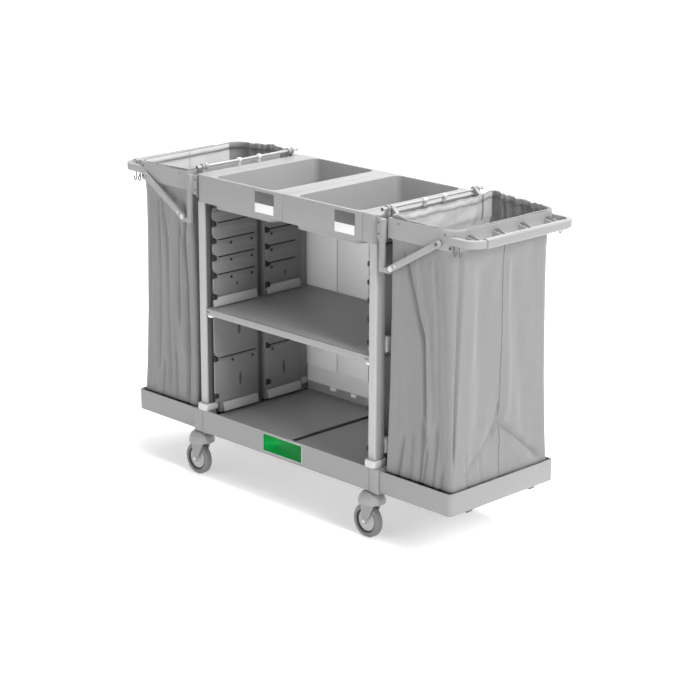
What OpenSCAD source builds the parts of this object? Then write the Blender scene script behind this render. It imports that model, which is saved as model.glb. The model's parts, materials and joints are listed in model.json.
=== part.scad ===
// Housekeeping cart: a wheeled cabinet with two top trays and a shelf,
// between two folding frames that each hold a laundry bag over an end tray.
// Millimetres. X runs along the cart, -Y is the open front, Z is up from the floor.
// Pieces of the right end are drawn at +X; the left end mirrors them.

/* [Overall] */
// Length of the middle platform
platform_len = 996; // [820:1:1200]
// Depth of the middle platform, front to back
platform_d = 552; // [460:1:660]
// Underside of the middle platform above the floor
platform_z = 186; // [182:1:210]
// Height of the top deck above the floor
deck_z = 1191; // [1000:1:1430]

/* [Platform] */
// Height of the platform's rim
rim_h = 88; // [70:1:110]
// Wall thickness of the moulded platform and end trays
shell_t = 7; // [5:0.5:10]
// Depth of the platform's floor below its rim
floor_drop = 28; // [20:1:40]
// Thickness of the floor and its mats
mat_t = 5; // [3:0.5:8]
// Gap between the two floor mats
mat_gap = 18; // [4:1:24]
// Size of the solid corner blocks, along the cart
block_x = 58; // [54:1:70]
// Size of the solid corner blocks, front to back
block_y = 60; // [56:1:70]
// Width of the rounded column on each corner block
column_w = 47; // [30:1:54]
// How far the columns stand proud of the front
column_proud = 4; // [1:0.5:6]
// Width of the blank name plate
plate_w = 210; // [140:1:260]
// Height of the blank name plate
plate_h = 70; // [40:1:74]

/* [End trays] */
// Length of each end tray
tray_len = 341; // [280:1:420]
// How far each tray is set in from the platform's faces
tray_inset = 3; // [2:1:10]
// Underside of the end trays above the platform's underside
tray_lift = 4; // [2:1:8]
// Radius of the trays' outer corners
tray_r = 16; // [10:1:60]
// Width of the runners under each tray
runner_w = 30; // [20:1:40]
// Height of the runners under each tray
runner_h = 8; // [5:1:12]
// Distance of each runner from the middle of the tray
runner_y = 165; // [120:1:190]

/* [Posts] */
// Width of a post, along the cart
post_w = 36; // [30:1:44]
// Depth of a post, front to back
post_d = 48; // [36:1:56]
// Wall thickness of the extruded posts
post_t = 2.5; // [1.5:0.5:4]
// Corner radius of the posts
post_r = 5; // [2:0.5:8]
// Outer face of the posts in from the platform's ends
post_inset = 28; // [20:1:34]
// Front face of the posts in from the platform's front
post_setback = 10; // [6:1:16]
// Height of the plastic shoe around each post's foot
shoe_h = 26; // [16:1:40]
// Thickness of the plastic shoe behind each post's foot
shoe_t = 4; // [2:0.5:6]
// Thickness of the shoe beside the post's foot
shoe_side = 8; // [4:0.5:10]
// Thickness of the shoe in front of the post's foot
shoe_front = 12; // [6:0.5:13]

/* [Top trays] */
// Height of the front fascia
fascia_h = 103; // [80:1:130]
// Wall thickness of the top trays
top_t = 4; // [3:0.5:6]
// Radius of the top's outer corners
top_r = 26; // [12:1:40]
// Half the width of the flat land between the two wells
land_half = 58; // [40:1:90]
// Distance of the wells from the ends of the top
well_end = 90; // [84:1:120]
// How far the wells hang below the fascia
well_drop = 15; // [8:1:40]
// Corner radius of the wells
well_r = 30; // [10:1:50]
// Width of the separate corner cap at the right end
cap_w = 70; // [60:1:80]
// Gap between neighbouring top mouldings
seam = 0.6; // [0.3:0.1:0.9]
// Width of a blank label plate
label_w = 100; // [60:1:120]
// Height of a blank label plate
label_h = 42; // [30:1:46]
// Height of the card below the label plate
card_h = 34; // [20:1:38]

/* [Cabinet] */
// Top of the shelf above the floor
shelf_z = 680; // [560:1:760]
// Thickness of the shelf board
board_t = 18; // [12:1:24]
// Height of the shelf's front lip
lip_h = 26; // [20:1:40]
// Depth of the shelf's front lip
lip_d = 12; // [8:1:20]
// Thickness of the moulded side panels
panel_t = 24; // [16:1:32]
// Height of one runner pitch on the side panels
rail_pitch = 65; // [50:1:80]
// How far the runners stand out of the side panels
rail_out = 9; // [5:1:14]
// Width of the upright between two side panels
upright_w = 34; // [24:1:44]
// Thickness of the back slats
slat_t = 6; // [4:0.5:9]
// Number of back slats
slat_n = 5; // [3:1:7]
// Height of the kick panel below the back slats
kick_h = 106; // [70:1:140]

/* [Bag frames] */
// Hinge axis outboard of the top's end face
hinge_out = 10; // [9:1:16]
// Hinge axis above the deck
hinge_up = 20; // [17:1:26]
// Radius of the hinge rod
rod_r = 5; // [4:0.5:6]
// Hinge arms in from the ring's sides
arm_in = 54; // [48:1:90]
// Thickness of a hinge arm
arm_t = 14; // [8:1:18]
// Length of the ring that holds the bag
ring_len = 310; // [270:1:370]
// Height of the ring
ring_h = 70; // [50:1:90]
// Thickness of the ring
ring_t = 6; // [4:0.5:8]
// Radius of the ring's outer corners
ring_r = 58; // [30:1:80]
// Gap between the hinge bracket and the ring
ring_gap = 8; // [6:1:14]
// How far the grip's middle stands out of the ring
grip_out = 80; // [60:1:100]
// Radius of the grip arms' outer corners
grip_r = 58; // [40:1:80]
// Thickness of the grip arms, in plan
arm_band = 18; // [12:1:24]
// Height of the grip arms
arm_h = 26; // [18:1:34]
// Thickness of the grip sleeve around the arm
grip_t = 4; // [2:0.5:6]
// Number of pocketed gussets between the ring and the grip
gusset_n = 4; // [1:1:4]
// Distance between two gussets
gusset_pitch = 132; // [60:1:134]
// Width of a gusset
gusset_w = 28; // [16:1:40]

/* [Stays] */
// Stay pivot along the ring, from the hinge axis
stay_x = 281; // [250:1:290]
// Stay pivot below the hinge axis
stay_z = 68; // [62:1:74]
// Length of a stay between its pivot and its foot
stay_len = 251; // [200:1:256]
// Slope of the stays, in degrees
stay_tilt = 30; // [26:0.5:34]
// Width of a stay
stay_w = 23; // [18:1:28]
// Thickness of a stay
stay_t = 12; // [8:1:16]
// Gap between a stay and the ring's side
stay_gap = 3; // [2:0.5:5]

/* [Bags] */
// Wall thickness of the bag solids
bag_t = 3; // [2:0.5:5]
// How far a bag stands in from the ring's outside, front and back
bag_in = 22; // [20:1:45]
// Gap between a bag and the tray's rim below it
bag_gap = 4; // [2:0.5:12]
// How far the cuff stands above the ring
cuff_h = 8; // [4:1:14]
// Gap between the cuff and the ring
cuff_gap = 0.3; // [0.2:0.1:0.8]

/* [Casters] */
// Radius of the wheels
wheel_r = 62.5; // [50:0.5:64]
// Width of the tyres
tyre_w = 30; // [24:1:36]
// Radius of the hub inside the tyre
hub_r = 46; // [34:1:48]
// Radius of the axles
axle_r = 4; // [3:0.5:6]
// Trail of the wheel behind its stem
trail = 40; // [20:1:44]
// Radius of the hood over the fork
hood_r = 50; // [44:1:56]
// Height of the hood
hood_h = 46; // [36:1:48]
// Middle of the hood behind the stem
hood_back = 22; // [10:1:26]
// Radius of the stem
stem_r = 6; // [5:0.5:8]
// Stem in from the platform's ends
stem_x = 34; // [30:1:38]
// Stem in from the platform's faces
stem_y = 24; // [22:1:30]
// Gap between the hood and the platform
hood_gap = 4; // [2:0.5:8]
// Radial running clearance of rods, stems and axles
run = 0.05; // [0.02:0.01:0.1]

/* [Hidden] */
$fn = 64;

shell_grey = "#a2a2a2";
light_grey = "#bdbdbd";
dark_grey = "#5c5c5c";
black = "#262626";
plate_green = "#1f9a4d";
post_white = "#dedede";
shoe_white = "#cfcfcf";
card_white = "#f2f2f2";
panel_grey = "#8e8e8e";
back_white = "#d5d5d5";
clip_white = "#eeeeee";
bracket_grey = "#9a9a9a";
steel = "#b5b5b5";
frame_grey = "#a9a9a9";
grip_grey = "#c6c6c6";
bag_grey = "#b0b0b0";
stay_grey = "#979797";
hub_grey = "#c9c9c9";
tyre_grey = "#6a6a6a";

cut = 1;
lap = 1;

end_x = platform_len / 2;
face_y = platform_d / 2;
rim_z = platform_z + rim_h;
floor_z = rim_z - floor_drop;
mat_z = floor_z + mat_t;

tray_x = end_x + tray_len;
tray_y = face_y - tray_inset;
tray_z = platform_z + tray_lift;
tray_down = 2;
tray_top = rim_z - tray_down;

post_out = end_x - post_inset;
post_in = post_out - post_w;
post_x = post_out - post_w / 2;
post_face = face_y - post_setback;
post_back = post_face - post_d;
post_y = post_face - post_d / 2;

fascia_z = deck_z - fascia_h;
top_out = 4;
top_x = post_out + top_out;
top_y = post_face + top_out;
pad_t = 12;
well_x = top_x - well_end;
well_y = top_y - 8;
well_z = fascia_z - well_drop;
cap_x = top_x - cap_w;

upright_t = 13.5;
upright_out = post_in + upright_t;
panel_in = 20.5;
panel_x = post_in - panel_in;
panel_gap = 4;
panel_foot = mat_z + 2 * panel_gap;
panel_waist = shelf_z - board_t - 1;
panel_brow = shelf_z + 22;
panel_head = well_z - panel_gap;
back_y = post_face - 2;
kick_step = 2;
kick_y = back_y - slat_t - kick_step;
lip_y = -post_face + 2;
clip_w = 20;

hinge_x = top_x + hinge_out;
hinge_z = deck_z + hinge_up;
bracket_t = 6;
bracket_x = top_x + 42;
boss_r = 12;
ring_x0 = bracket_x + ring_gap;
ring_x1 = ring_x0 + ring_len;
ring_y = top_y - 5;
ring_z = deck_z - ring_h;
arm_y = ring_y - arm_in;
grip_x = ring_x1 + grip_out;
grip_z = ring_z + ring_h / 2 + 2;
grip_len = 2 * (ring_y - grip_r) - 4;
band_z0 = grip_z - arm_h / 2;
band_z1 = grip_z + arm_h / 2;
band_x0 = grip_x - arm_band / 2;
band_x1 = grip_x + arm_band / 2;

pin_x = hinge_x + stay_x;
pin_z = hinge_z - stay_z;
pin_r = rod_r;
pin_head = 4;
stay_y = ring_y + stay_gap;
foot_x = pin_x - stay_len * cos(stay_tilt);
foot_z = pin_z - stay_len * sin(stay_tilt);
leg_w = 20;
leg_x = bracket_x - leg_w;

bag_x0 = ring_x0 - 12;
bag_x1 = ring_x1 - 14;
bag_y = ring_y - bag_in;
bag_z = tray_top + bag_gap;
bag_r = 34;
bag_neck = ring_z - 5;

stem_cx = end_x - stem_x;
stem_cy = face_y - stem_y;
hood_top = platform_z - hood_gap;
hood_z = hood_top - hood_h;
skirt = 8;
stem_len = 44;
fork_in = tyre_w / 2 + 3;
fork_t = 4;

// ---------- shared shapes ----------

// Flat rounded rectangle between two corners, with true arcs.
module round_rect(x0, y0, x1, y1, r) {
    translate([x0 + r, y0]) square([x1 - x0 - 2 * r, y1 - y0]);
    translate([x0, y0 + r]) square([x1 - x0, y1 - y0 - 2 * r]);
    for (x = [x0 + r, x1 - r], y = [y0 + r, y1 - r]) translate([x, y]) circle(r);
}

// Upright block on a rounded rectangle, symmetric front to back.
module slab(x0, x1, y, z0, z1, r) {
    translate([0, 0, z0]) linear_extrude(z1 - z0) round_rect(x0, -y, x1, y, r);
}

// Plain block between two corners.
module block(p, q) {
    translate(p) cube(q - p);
}

// Rod along Y between two places.
module y_rod(x, z, r, y0, y1) {
    translate([x, y1, z]) rotate([90, 0, 0]) cylinder(r = r, h = y1 - y0);
}

// Plate in the XZ plane, from y0 to y1.
module xz_plate(y0, y1) {
    translate([0, y1, 0]) rotate([90, 0, 0]) linear_extrude(y1 - y0) children();
}

module both_ends() { children(); mirror([1, 0, 0]) children(); }
module both_faces() { children(); mirror([0, 1, 0]) children(); }
module four_corners() { both_ends() both_faces() children(); }
module left_end() { mirror([1, 0, 0]) children(); }
module rear() { mirror([0, 1, 0]) children(); }

// ---------- platform ----------

// Space inside the platform's walls between two heights, less its solid corner blocks.
module platform_hollow(z0, z1) {
    inner_r = 8;
    difference() {
        slab(-end_x + shell_t, end_x - shell_t, face_y - shell_t, z0, z1, inner_r);
        four_corners() block([end_x - block_x, face_y - block_y, z0 - cut], [end_x, face_y, z1 + cut]);
    }
}

// Shallow rounded column on the front of a corner block.
module corner_column() {
    column_r = (column_w * column_w / 4 + column_proud * column_proud) / (2 * column_proud);
    intersection() {
        translate([end_x - column_w / 2, face_y + column_proud - column_r, platform_z])
            cylinder(r = column_r, h = rim_h);
        block([end_x - column_w, face_y - shell_t, platform_z], [end_x, face_y + column_proud, rim_z]);
    }
}

module base_platform() {
    edge_r = 12;
    floor_t = 6;
    color(shell_grey) difference() {
        union() {
            slab(-end_x, end_x, face_y, platform_z, rim_z, edge_r);
            four_corners() corner_column();
        }
        platform_hollow(floor_z, rim_z + cut);
        platform_hollow(platform_z - cut, floor_z - floor_t);
        four_corners() translate([stem_cx, stem_cy, platform_z - cut])
            cylinder(r = stem_r + run, h = stem_len + cut);
    }
}

module base_mats() {
    gap = 3;
    mat_x = post_in - 2 * panel_gap;
    mat_front = face_y - shell_t - panel_gap;
    color(dark_grey) both_ends() difference() {
        block([mat_gap / 2, -mat_front, floor_z], [mat_x, kick_y - lap, mat_z]);
        both_faces() block([end_x - block_x - gap, face_y - block_y - gap, floor_z - cut],
            [end_x, face_y, mat_z + cut]);
    }
}

// Blank plate on the platform's front.
module name_plate() {
    plate_t = 1.5;
    below_rim = 6;
    color(plate_green) translate([0, -face_y, rim_z - below_rim - plate_h / 2]) rotate([90, 0, 0])
        linear_extrude(plate_t) round_rect(-plate_w / 2, -plate_h / 2, plate_w / 2, plate_h / 2, 3);
}

// ---------- end trays ----------

// Rounded block from the platform's end out to one radius of corners, cut off square inside.
module tray_block(x0, x1, y, z0, z1, r) {
    intersection() {
        slab(x0 - 3 * r, x1, y, z0, z1, r);
        block([x0, -y - cut, z0], [x1 + cut, y + cut, z1]);
    }
}

module base_tray() {
    color(shell_grey) difference() {
        tray_block(end_x, tray_x, tray_y, tray_z, tray_top, tray_r);
        tray_block(end_x + shell_t, tray_x - shell_t, tray_y - shell_t,
            tray_z + shell_t, tray_top + cut, tray_r - shell_t);
    }
}

module tray_runners() {
    near = 20;
    far = 6;
    color(black) four_corners()
        block([end_x + near, runner_y - runner_w / 2, tray_z - runner_h],
            [tray_x - far, runner_y + runner_w / 2, tray_z]);
}

// ---------- posts ----------

module post() {
    half_w = post_w / 2;
    half_d = post_d / 2;
    color(post_white) translate([post_x, -post_y, rim_z]) linear_extrude(fascia_z - rim_z)
        difference() {
            round_rect(-half_w, -half_d, half_w, half_d, post_r);
            round_rect(-half_w + post_t, -half_d + post_t, half_w - post_t, half_d - post_t,
                post_r - post_t / 2);
        }
}

module post_shoes() {
    half_w = post_w / 2;
    half_d = post_d / 2;
    color(shoe_white) four_corners() translate([post_x, post_y, rim_z]) linear_extrude(shoe_h)
        difference() {
            round_rect(-half_w - shoe_side, -half_d - shoe_t, half_w + shoe_side, half_d + shoe_front,
                post_r + shoe_t);
            round_rect(-half_w, -half_d, half_w, half_d, post_r);
        }
}

// ---------- top trays ----------

// Skirt and deck of the whole top, before it is cut into its mouldings.
module top_shell() {
    seat = 4;
    difference() {
        slab(-top_x, top_x, top_y, fascia_z, deck_z, top_r);
        slab(-top_x + top_t, top_x - top_t, top_y - top_t, fascia_z - cut, deck_z - top_t, top_r - top_t);
    }
    intersection() {
        slab(-top_x, top_x, top_y, fascia_z, fascia_z + pad_t, top_r);
        four_corners() block([post_in - seat, post_back - seat, fascia_z], [top_x, top_y, fascia_z + pad_t]);
    }
}

// One deep well between two places along the cart.
module well(x0, x1, grow, z0, z1) {
    slab(x0 - grow, x1 + grow, well_y - top_t + grow, z0, z1, well_r + grow);
}

// The stretch of the top between two places, with its well.
module top_moulding(cut0, cut1, x0, x1) {
    color(shell_grey) difference() {
        union() {
            intersection() {
                top_shell();
                block([cut0, -top_y, fascia_z], [cut1, top_y, deck_z]);
            }
            well(x0, x1, top_t, well_z, deck_z);
        }
        well(x0, x1, 0, well_z + top_t, deck_z + cut);
    }
}

module top_tray_left() { top_moulding(-top_x, -seam / 2, -well_x, -land_half); }
module top_tray_right() { top_moulding(seam / 2, cap_x - seam / 2, land_half, well_x); }

module top_corner_cap() {
    color(shell_grey) intersection() {
        top_shell();
        block([cap_x + seam / 2, -top_y, fascia_z], [top_x, top_y, deck_z]);
    }
}

// Place of a label's left edge on each fascia.
label_x = [-46 - label_w, cap_x - 36 - label_w];
label_z = deck_z - 12;

module label_plates() {
    plate_t = 1.2;
    color(black) for (x = label_x)
        block([x, -top_y - plate_t, label_z - label_h], [x + label_w, -top_y, label_z]);
}

module label_cards() {
    card_t = 1;
    card_z = label_z - label_h - 1;
    color(card_white) for (x = label_x)
        block([x, -top_y - card_t, card_z - card_h], [x + label_w - 2, -top_y, card_z]);
}

// ---------- cabinet ----------

// Side panel between two heights, with a bulged foot and runner ledges, each with
// a slot below it.
module panel_leaf(z0, z1) {
    y0 = -post_back + shoe_t;
    y1 = -upright_w / 2;
    foot_h = 46;
    ledge_h = 10;
    slot_h = 5;
    slot_deep = 5;
    ledge_y0 = y0 + 10;
    ledge_y1 = y1 - 8;
    slot_in = 6;
    first = z0 + foot_h + 0.65 * rail_pitch;
    ledges = floor((z1 - z0 - foot_h - 24) / rail_pitch);
    difference() {
        union() {
            block([panel_x, y0, z0], [panel_x + panel_t, y1, z1]);
            translate([0, 0, z0])
                block([panel_x - rail_out, ledge_y0, slot_in], [panel_x + lap, ledge_y1, slot_in + foot_h]);
            for (i = [0:ledges - 1]) translate([0, 0, first + i * rail_pitch])
                block([panel_x - rail_out, ledge_y0, slot_in], [panel_x + lap, ledge_y1, slot_in + ledge_h]);
        }
        for (i = [0:ledges - 1]) translate([0, 0, first + i * rail_pitch])
            block([panel_x - cut, ledge_y0 + slot_in, 0],
                [panel_x + slot_deep, ledge_y1 - slot_in, slot_h]);
    }
}

module side_panel() {
    color(panel_grey) {
        panel_leaf(panel_foot, panel_waist);
        panel_leaf(panel_brow, panel_head);
    }
}

module centre_uprights() {
    color(dark_grey) both_ends()
        block([post_in, -upright_w / 2, floor_z], [upright_out, upright_w / 2, panel_head]);
}

module back_slats() {
    pitch = 2 * post_in / slat_n;
    joint = 0.4;
    color(back_white) for (i = [0:slat_n - 1])
        block([-post_in + i * pitch + (i > 0 ? joint : 0), back_y - slat_t, floor_z + kick_h],
            [-post_in + (i + 1) * pitch - (i < slat_n - 1 ? joint : 0), back_y, well_z]);
}

module back_kick_panel() {
    color(back_white) block([-post_in + shoe_side, kick_y, floor_z],
        [post_in - shoe_side, back_y, floor_z + kick_h]);
}

// Small clips low on the kick panel.
module back_clips() {
    clip_x = [0.36 * post_in, 0.63 * post_in];
    reach = 12;
    above_mat = 24;
    height = 14;
    color(clip_white) both_ends() for (x = clip_x)
        block([x - 13, kick_y - reach, mat_z + above_mat], [x + 13, kick_y, mat_z + above_mat + height]);
}

module shelf_board() {
    color(dark_grey) block([-post_in, lip_y + lip_d, shelf_z - board_t], [post_in, kick_y, shelf_z]);
}

module shelf_lip() {
    color(light_grey) block([-post_in, lip_y, shelf_z - lip_h], [post_in, lip_y + lip_d, shelf_z]);
}

// Clips below the shelf's corners, notched for the lip.
module shelf_clips() {
    hang = 10;
    color(shoe_white) four_corners() difference() {
        block([post_in - clip_w, post_back + 6, shelf_z - lip_h - hang],
              [post_in, kick_y, shelf_z - board_t]);
        block([post_in - clip_w - cut, -lip_y - lip_d, shelf_z - lip_h], [post_in + cut, post_face, shelf_z]);
    }
}

// ---------- bag frames ----------

// Bracket on the top's end face: side arms, hinge ears, and a leg with the stay's cradle.
module hinge_brackets() {
    ear_y = arm_y + arm_t / 2 + 4;
    ear_t = 10;
    ear_w = bracket_t + 16;
    ear_z = deck_z - 40;
    side_y = -ring_y + 3;
    side_top = deck_z - 6;
    leg_y = -stay_y - stay_t;
    cradle_z = foot_z - stay_w / 2 - 6;
    color(bracket_grey) both_faces() difference() {
        union() {
            block([top_x, side_y, fascia_z + 12], [top_x + bracket_t, -arm_y + arm_t, deck_z - 2]);
            block([top_x, -stay_y, fascia_z + 22], [bracket_x, side_y, side_top]);
            block([leg_x, leg_y, cradle_z], [bracket_x, -stay_y, side_top]);
            block([bracket_x - lap, leg_y, cradle_z], [foot_x - lap, -stay_y, foot_z]);
            xz_plate(-ear_y - ear_t, -ear_y) union() {
                translate([hinge_x, hinge_z]) circle(boss_r);
                translate([top_x, ear_z]) square([ear_w, deck_z - ear_z + 10]);
            }
            block([top_x, side_y, ear_z], [top_x + ear_w, -ear_y, ear_z + 20]);
        }
        y_rod(hinge_x, hinge_z, rod_r, -ring_y, 0);
        y_rod(foot_x, foot_z, stay_w / 2 + 0.4, leg_y - cut, -stay_y + cut);
    }
}

module hinge_rod() {
    rod_y = ring_y - 12;
    color(steel) y_rod(hinge_x, hinge_z, rod_r, -rod_y, rod_y);
}

// Outline of one hinge arm, from its knuckle down to the ring.
module arm_outline() {
    translate([hinge_x, hinge_z]) circle(boss_r);
    polygon([[hinge_x - boss_r + 4, hinge_z - boss_r + 3], [hinge_x + 4, hinge_z - boss_r],
        [ring_x0 + lap, ring_z + 14], [ring_x0 + lap, deck_z], [hinge_x + boss_r - 2, hinge_z + boss_r / 2]]);
}

// Ring block with square inner and rounded outer corners.
module ring_block(inset, z0, z1) {
    slab(ring_x0 + inset, ring_x1 - inset, ring_y - inset, z0, z1, ring_r - inset);
    block([ring_x0 + inset, -ring_y + inset, z0], [ring_x1 - ring_r, ring_y - inset, z1]);
}

// Band that carries the grip: from the ring's sides around both outer corners.
module grip_band() {
    difference() {
        intersection() {
            slab(ring_x0, band_x1, ring_y, band_z0, band_z1, grip_r);
            block([ring_x1 - ring_r, -ring_y, band_z0], [band_x1, ring_y, band_z1]);
        }
        slab(ring_x0, band_x0, ring_y - arm_band, band_z0 - cut, band_z1 + cut, grip_r - arm_band);
    }
}

// Gussets between the ring's end and the band, each with a three-cornered pocket.
module gussets() {
    wall = 4;
    tip_h = 10;
    half = gusset_w / 2;
    for (i = [0:gusset_n - 1]) translate([0, (i - (gusset_n - 1) / 2) * gusset_pitch, 0]) difference() {
        xz_plate(-half, half) polygon([[ring_x1 - lap, band_z0], [band_x0 + lap, band_z0],
            [band_x0 + lap, band_z0 + tip_h], [ring_x1 - lap, band_z1]]);
        xz_plate(-half + wall, half - wall) polygon([[ring_x1 + wall, band_z0 + wall],
            [band_x0 - wall, band_z0 + wall], [ring_x1 + wall, band_z1 + tip_h]]);
    }
}

// Pin through the ring's front side, with a head, that its stay turns on.
module stay_pin() {
    tip = -stay_y - stay_t - 1;
    y_rod(pin_x, pin_z, pin_r, tip, -ring_y + lap);
    y_rod(pin_x, pin_z, pin_r + pin_head, tip - pin_head, tip);
}

module bag_frame() {
    color(frame_grey) difference() {
        union() {
            difference() {
                union() {
                    ring_block(0, ring_z, deck_z);
                    grip_band();
                }
                ring_block(ring_t, ring_z - cut, deck_z + cut);
            }
            gussets();
            both_faces() xz_plate(-arm_y - arm_t / 2, -arm_y + arm_t / 2) arm_outline();
            both_faces() stay_pin();
        }
        y_rod(hinge_x, hinge_z, rod_r + run, -ring_y, ring_y);
    }
}

module grip() {
    sleeve_r = 9;
    color(grip_grey) difference() {
        xz_plate(-grip_len / 2, grip_len / 2) round_rect(band_x0 - grip_t, band_z0 - grip_t,
            band_x1 + grip_t, band_z1 + grip_t, sleeve_r);
        grip_band();
        gussets();
    }
}

// Two bent hooks that hang down from each side of the band just past the ring.
module bag_hooks() {
    wire = 4;
    drop = 38;
    reach = 14;
    color(black) both_faces() for (x = [ring_x1 - 16, ring_x1 + 10])
        xz_plate(-ring_y + 2 * wire, -ring_y + 3 * wire) translate([x, band_z0 - drop]) union() {
            square([wire, drop]);
            square([reach, wire]);
            translate([reach - wire, 0]) square([wire, reach]);
        }
}

// The cuff that lines the ring, shrunk inwards by some wall.
module bag_cuff(wall, z0, z1) {
    inset = ring_t + cuff_gap + wall;
    intersection() {
        slab(ring_x0 - ring_r, ring_x1 - inset, ring_y - inset, z0, z1, ring_r - inset);
        block([ring_x0 + inset, -ring_y, z0], [ring_x1, ring_y, z1]);
    }
}

module bag() {
    top = deck_z + cuff_h;
    color(bag_grey) difference() {
        union() {
            slab(bag_x0, bag_x1, bag_y, bag_z, bag_neck, bag_r);
            bag_cuff(0, bag_neck - bag_t, top);
        }
        slab(bag_x0 + bag_t, bag_x1 - bag_t, bag_y - bag_t, bag_z + bag_t, bag_neck + cut, bag_r - bag_t);
        bag_cuff(bag_t, bag_neck, top + cut);
    }
}

// Stay of the right end's front side, from its pivot down to its foot.
module stay() {
    end_r = stay_w / 2;
    color(stay_grey) xz_plate(-stay_y - stay_t, -stay_y) translate([pin_x, pin_z]) difference() {
        union() {
            circle(end_r);
            translate([foot_x - pin_x, foot_z - pin_z]) circle(end_r);
            rotate(180 + stay_tilt) translate([0, -end_r]) square([stay_len, stay_w]);
        }
        circle(pin_r + run);
    }
}

// ---------- casters ----------

// Places a caster's parts from their own stem axis to one corner.
module at_corner(side, face) {
    translate([side * stem_cx, face * stem_cy, 0]) children();
}

// Half outline of the domed hood, shrunk inwards by some wall.
module hood_outline(wall) {
    dome_r = hood_h - skirt;
    intersection() {
        union() {
            square([hood_r - dome_r, hood_top - wall]);
            translate([hood_r - dome_r, hood_z + skirt]) circle(dome_r - wall);
            square([hood_r - wall, hood_z + skirt]);
        }
        square([hood_r, hood_top]);
    }
}

// One fork arm, tapering from the hood down to the axle.
module fork_outline() {
    top = hood_top - 8;
    brow = top - 22;
    half = 0.78 * hood_r;
    translate([-trail, wheel_r]) circle(boss_r);
    polygon([[-trail - boss_r, wheel_r], [-hood_back - half, brow], [-hood_back - half / 2, top],
        [-hood_back + half / 2, top], [-hood_back + half, brow], [-trail + boss_r, wheel_r]]);
}

module caster_fork() {
    hood_t = 4;
    collar_r = 11;
    seat_r = 15;
    color(shell_grey) difference() {
        union() {
            difference() {
                translate([-hood_back, 0, 0]) rotate_extrude() hood_outline(0);
                translate([-hood_back, 0, 0]) cylinder(r = hood_r + cut, h = hood_z);
                translate([-hood_back, 0, 0]) rotate_extrude() hood_outline(hood_t);
            }
            translate([0, 0, hood_z + 2]) cylinder(r = seat_r, h = hood_h - hood_t);
            both_faces() xz_plate(-fork_in - fork_t, -fork_in) fork_outline();
            translate([0, 0, hood_top - hood_t]) cylinder(r = collar_r, h = hood_gap + 2);
            translate([0, 0, hood_top - hood_t]) cylinder(r = stem_r, h = stem_len + hood_gap + 1);
        }
        y_rod(-trail, wheel_r, axle_r, -fork_in - fork_t - cut, fork_in + fork_t + cut);
    }
}

module caster_axle() {
    head = 3;
    end = fork_in + fork_t + head;
    color(steel) union() {
        y_rod(-trail, wheel_r, axle_r, -end, end);
        both_faces() y_rod(-trail, wheel_r, axle_r + head, fork_in + fork_t, end);
    }
}

module caster_hub() {
    recess = 6;
    boss_y = fork_in - 0.5;
    color(hub_grey) difference() {
        union() {
            y_rod(-trail, wheel_r, hub_r, -tyre_w / 2 + recess, tyre_w / 2 - recess);
            y_rod(-trail, wheel_r, boss_r + 1, -boss_y, boss_y);
        }
        y_rod(-trail, wheel_r, axle_r + run, -fork_in, fork_in);
    }
}

module caster_tyre() {
    half = tyre_w / 2;
    round = 8;
    color(tyre_grey) translate([-trail, 0, wheel_r]) rotate([90, 0, 0]) rotate_extrude() union() {
        translate([hub_r, -half + round]) square([wheel_r - hub_r, tyre_w - 2 * round]);
        translate([hub_r, -half]) square([wheel_r - hub_r - round, tyre_w]);
        for (y = [-half + round, half - round]) translate([wheel_r - round, y]) circle(round);
    }
}

// ---------- assembly ----------

base_platform();
left_end() base_tray();  // base_tray_left
base_tray();  // base_tray_right
base_mats();
tray_runners();
left_end() post();  // post_front_left
post();  // post_front_right
left_end() rear() post();  // post_rear_left
rear() post();  // post_rear_right
post_shoes();
top_tray_left();
top_tray_right();
top_corner_cap();
label_plates();
label_cards();
left_end() side_panel();  // side_panel_left_front
left_end() rear() side_panel();  // side_panel_left_rear
side_panel();  // side_panel_right_front
rear() side_panel();  // side_panel_right_rear
centre_uprights();
back_slats();
back_kick_panel();
back_clips();
shelf_board();
shelf_lip();
shelf_clips();
name_plate();
left_end() hinge_brackets();  // hinge_brackets_left
hinge_brackets();  // hinge_brackets_right
left_end() hinge_rod();  // hinge_rod_left
hinge_rod();  // hinge_rod_right
left_end() bag_frame();  // bag_frame_left
bag_frame();  // bag_frame_right
left_end() grip();  // grip_left
grip();  // grip_right
left_end() bag_hooks();  // bag_hooks_left
bag_hooks();  // bag_hooks_right
left_end() bag();  // bag_left
bag();  // bag_right
left_end() stay();  // stay_left_front
left_end() rear() stay();  // stay_left_rear
stay();  // stay_right_front
rear() stay();  // stay_right_rear
at_corner(-1, -1) caster_fork();  // caster_fork_fl
at_corner(1, -1) caster_fork();  // caster_fork_fr
at_corner(-1, 1) caster_fork();  // caster_fork_rl
at_corner(1, 1) caster_fork();  // caster_fork_rr
at_corner(-1, -1) caster_axle();  // caster_axle_fl
at_corner(1, -1) caster_axle();  // caster_axle_fr
at_corner(-1, 1) caster_axle();  // caster_axle_rl
at_corner(1, 1) caster_axle();  // caster_axle_rr
at_corner(-1, -1) caster_hub();  // caster_hub_fl
at_corner(1, -1) caster_hub();  // caster_hub_fr
at_corner(-1, 1) caster_hub();  // caster_hub_rl
at_corner(1, 1) caster_hub();  // caster_hub_rr
at_corner(-1, -1) caster_tyre();  // caster_tyre_fl
at_corner(1, -1) caster_tyre();  // caster_tyre_fr
at_corner(-1, 1) caster_tyre();  // caster_tyre_rl
at_corner(1, 1) caster_tyre();  // caster_tyre_rr
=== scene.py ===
import json
import math
import bpy
from mathutils import Matrix, Vector

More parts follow.
